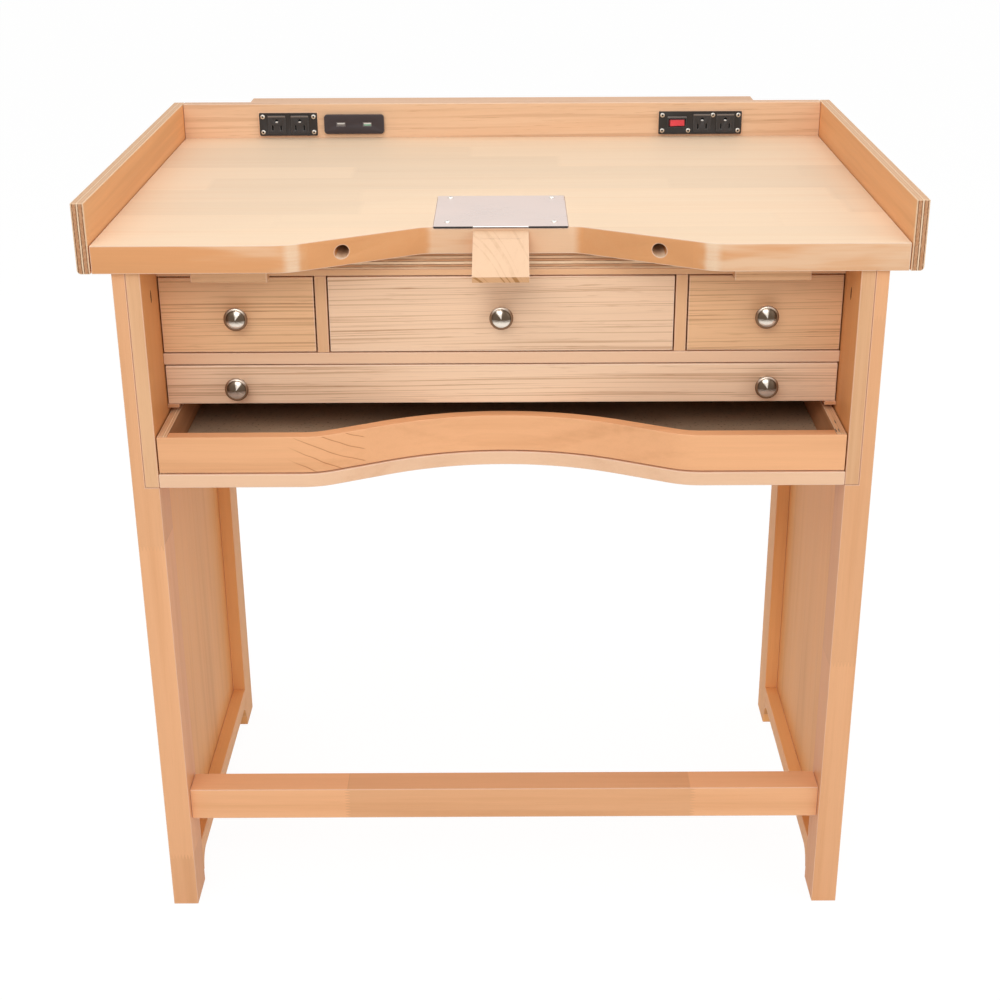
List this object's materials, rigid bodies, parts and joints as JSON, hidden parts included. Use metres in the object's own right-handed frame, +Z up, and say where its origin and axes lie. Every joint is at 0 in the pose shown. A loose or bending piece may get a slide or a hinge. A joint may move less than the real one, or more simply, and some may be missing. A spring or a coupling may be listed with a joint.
{
  "type": "jewelers bench",
  "caption": "Wooden jewelers bench with a cut-out worktop, raised gallery, drawers, pull-out armrests, catch tray, bench pin and built-in power fittings.",
  "frame": {"origin": "on the floor, under the middle of the bench's overall box", "axes": "+Z up, +X to the right of a person who stands at the front, front towards -Y"},
  "size_m": [1, 0.708, 0.992],
  "materials": {
    "worktop_wood": "satin lacquer on pale edge-glued boards",
    "frame_wood": "satin lacquer",
    "drawer_wood": "satin lacquer on straight-grained veneer",
    "plywood": "lacquered plywood with plain edges",
    "plate_steel": "bright rolled steel",
    "liner_metal": "dull grey sheet metal",
    "nickel": "brushed nickel",
    "black_plastic": "fine matte",
    "red_plastic": "gloss"
  },
  "bodies": {
    "bench": {"worktop_panel": "worktop_wood", "left_front_board": "worktop_wood", "right_front_board": "worktop_wood", "left_gallery_board": "plywood", "right_gallery_board": "plywood", "back_board": "worktop_wood", "bench_plate": "plate_steel", "left_outlet_plate": "black_plastic", "left_receptacle": "black_plastic", "wiring_box": "plywood", "usb_plate": "black_plastic", "right_outlet_plate": "black_plastic", "right_receptacle": "black_plastic", "cord_gland": "black_plastic", "left_cabinet_side": "frame_wood", "right_cabinet_side": "frame_wood", "cabinet_bottom": "frame_wood", "cabinet_back": "plywood", "cabinet_top": "frame_wood", "shelf": "frame_wood", "left_divider": "frame_wood", "right_divider": "frame_wood", "left_runner": "plywood", "right_runner": "plywood", "middle_spacer": "plywood", "left_outer_spacer": "plywood", "right_outer_spacer": "plywood", "left_front_leg": "frame_wood", "right_front_leg": "frame_wood", "left_rear_leg": "frame_wood", "right_rear_leg": "frame_wood", "left_side_panel": "frame_wood", "right_side_panel": "frame_wood", "left_lower_rail": "frame_wood", "right_lower_rail": "frame_wood", "front_stretcher": "frame_wood"},
    "left_drawer": {"left_drawer_front": "drawer_wood", "left_drawer_box": "plywood", "left_drawer_bottom": "plywood", "left_drawer_knob": "nickel"},
    "middle_drawer": {"middle_drawer_front": "drawer_wood", "middle_drawer_box": "plywood", "middle_drawer_bottom": "plywood", "middle_drawer_knob": "nickel"},
    "right_drawer": {"right_drawer_front": "drawer_wood", "right_drawer_box": "plywood", "right_drawer_bottom": "plywood", "right_drawer_knob": "nickel"},
    "wide_drawer": {"wide_drawer_front": "drawer_wood", "wide_drawer_box": "plywood", "wide_drawer_bottom": "plywood", "wide_drawer_left_knob": "nickel", "wide_drawer_right_knob": "nickel"},
    "catch_tray": {"tray_front": "frame_wood", "tray_box": "plywood", "tray_liner": "liner_metal"},
    "left_armrest": {"left_armrest": "frame_wood"},
    "right_armrest": {"right_armrest": "frame_wood"},
    "bench_pin": {"bench_pin": "worktop_wood"},
    "rocker": {"rocker_switch": "red_plastic"}
  },
  "joints": [
    {"name": "left_drawer_slide", "type": "slide", "parent": "bench", "child": "left_drawer", "axis": [0, -1, 0], "range_m": [0, 0.3]},
    {"name": "middle_drawer_slide", "type": "slide", "parent": "bench", "child": "middle_drawer", "axis": [0, -1, 0], "range_m": [0, 0.3]},
    {"name": "right_drawer_slide", "type": "slide", "parent": "bench", "child": "right_drawer", "axis": [0, -1, 0], "range_m": [0, 0.3]},
    {"name": "wide_drawer_slide", "type": "slide", "parent": "bench", "child": "wide_drawer", "axis": [0, -1, 0], "range_m": [0, 0.3]},
    {"name": "tray_slide", "type": "slide", "parent": "bench", "child": "catch_tray", "axis": [0, -1, 0], "range_m": [0, 0.38]},
    {"name": "left_armrest_slide", "type": "slide", "parent": "bench", "child": "left_armrest", "axis": [0, -1, 0], "range_m": [0, 0.22]},
    {"name": "right_armrest_slide", "type": "slide", "parent": "bench", "child": "right_armrest", "axis": [0, -1, 0], "range_m": [0, 0.22]},
    {"name": "bench_pin_slide", "type": "slide", "parent": "bench", "child": "bench_pin", "axis": [0, -1, 0], "range_m": [0, 0.06]},
    {"name": "power_switch_rock", "type": "hinge", "parent": "bench", "child": "rocker", "pos_m": [0.2665, 0.3, 0.9615], "axis": [0, 0, 1], "range_deg": [-16, 0]}
  ]
}
